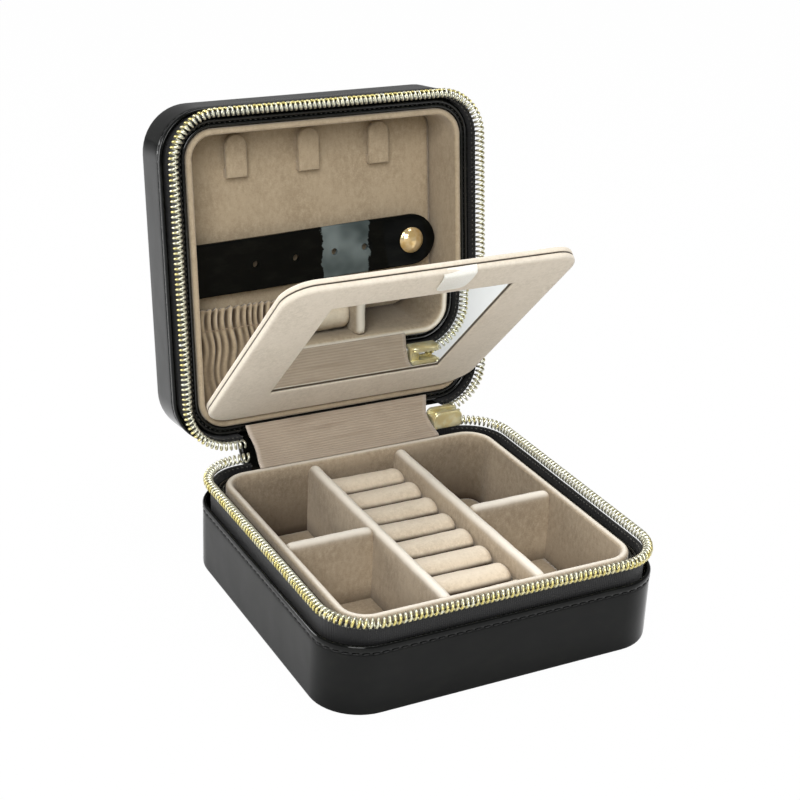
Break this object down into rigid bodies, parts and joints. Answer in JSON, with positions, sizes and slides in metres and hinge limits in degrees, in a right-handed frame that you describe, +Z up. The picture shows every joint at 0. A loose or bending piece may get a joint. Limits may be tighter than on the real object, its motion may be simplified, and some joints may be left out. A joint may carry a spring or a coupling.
{
  "type": "travel jewelry case",
  "caption": "Small zip-round travel jewelry case with divided velvet tray, ring rolls, fold-down mirror flap, hook tabs, earring strap and gathered pocket.",
  "frame": {"origin": "middle of the flat underside of the base", "axes": "+Z up, -Y to the front where the base opens, +Y to the back where the open lid stands, +X to the right"},
  "size_m": [0.1024, 0.1398, 0.131],
  "materials": {
    "patent_leather": "glossy black patent",
    "zip_tape": "black woven tape",
    "zip_coil": "pale metallised coil",
    "velvet": "beige velvet",
    "woven_lining": "ribbed beige-brown weave",
    "gold_metal": "polished pale gold",
    "mirror": "silvered glass",
    "ivory_tab": "glossy ivory"
  },
  "bodies": {
    "base": {"base_shell": "patent_leather", "base_hem": "patent_leather", "base_frame": "patent_leather", "base_zip_tape": "zip_tape", "base_zip_teeth": "zip_coil", "base_tray_wall": "velvet", "base_floor_pad": "velvet", "long_divider_left": "velvet", "long_divider_right": "velvet", "cross_divider_left": "velvet", "cross_divider_right": "velvet", "ring_roll_1": "velvet", "ring_roll_2": "velvet", "ring_roll_3": "velvet", "ring_roll_4": "velvet", "ring_roll_5": "velvet", "ring_roll_6": "velvet", "ring_roll_7": "velvet", "ring_roll_8": "velvet", "hinge_lining": "woven_lining", "spine_cover": "patent_leather", "zip_slider": "gold_metal"},
    "lid": {"lid_shell": "patent_leather", "lid_hem": "patent_leather", "lid_frame": "patent_leather", "lid_zip_tape": "zip_tape", "lid_zip_teeth": "zip_coil", "lid_tray_wall": "velvet", "lid_back_pad": "velvet", "hook_tab_1": "velvet", "hook_tab_2": "velvet", "hook_tab_3": "velvet", "pocket_front": "velvet", "pocket_frill": "velvet", "strap_anchor": "patent_leather", "snap_stud": "gold_metal"},
    "flap": {"flap_border": "velvet", "flap_back": "velvet", "mirror_glass": "mirror", "flap_tab": "ivory_tab"},
    "strap": {"earring_strap": "patent_leather", "snap_cap": "gold_metal", "snap_socket": "gold_metal"},
    "pull": {"zip_pull": "gold_metal"}
  },
  "joints": [
    {"name": "lid_hinge", "type": "hinge", "parent": "base", "child": "lid", "pos_m": [0, 0.051, 0.0299], "axis": [1, 0, 0], "range_deg": [-12, 97.6], "deforming": ["hinge_lining", "spine_cover"]},
    {"name": "flap_hinge", "type": "hinge", "parent": "lid", "child": "flap", "pos_m": [0, 0.05514, 0.04146], "axis": [1, 0, 0], "range_deg": [-51.95, 6.4]},
    {"name": "strap_hinge", "type": "hinge", "parent": "lid", "child": "strap", "pos_m": [-0.0415, 0.07568, 0.07836], "axis": [0.0262, -0.1322, -0.9909], "range_deg": [0, 8]},
    {"name": "pull_swing", "type": "hinge", "parent": "base", "child": "pull", "pos_m": [0.0343, 0.0541, 0.0299], "axis": [1, 0, 0], "range_deg": [-8, 50]}
  ],
  "couplings": [
    {"joint": "flap_hinge", "follows": "lid_hinge", "ratio": -0.53176}
  ]
}
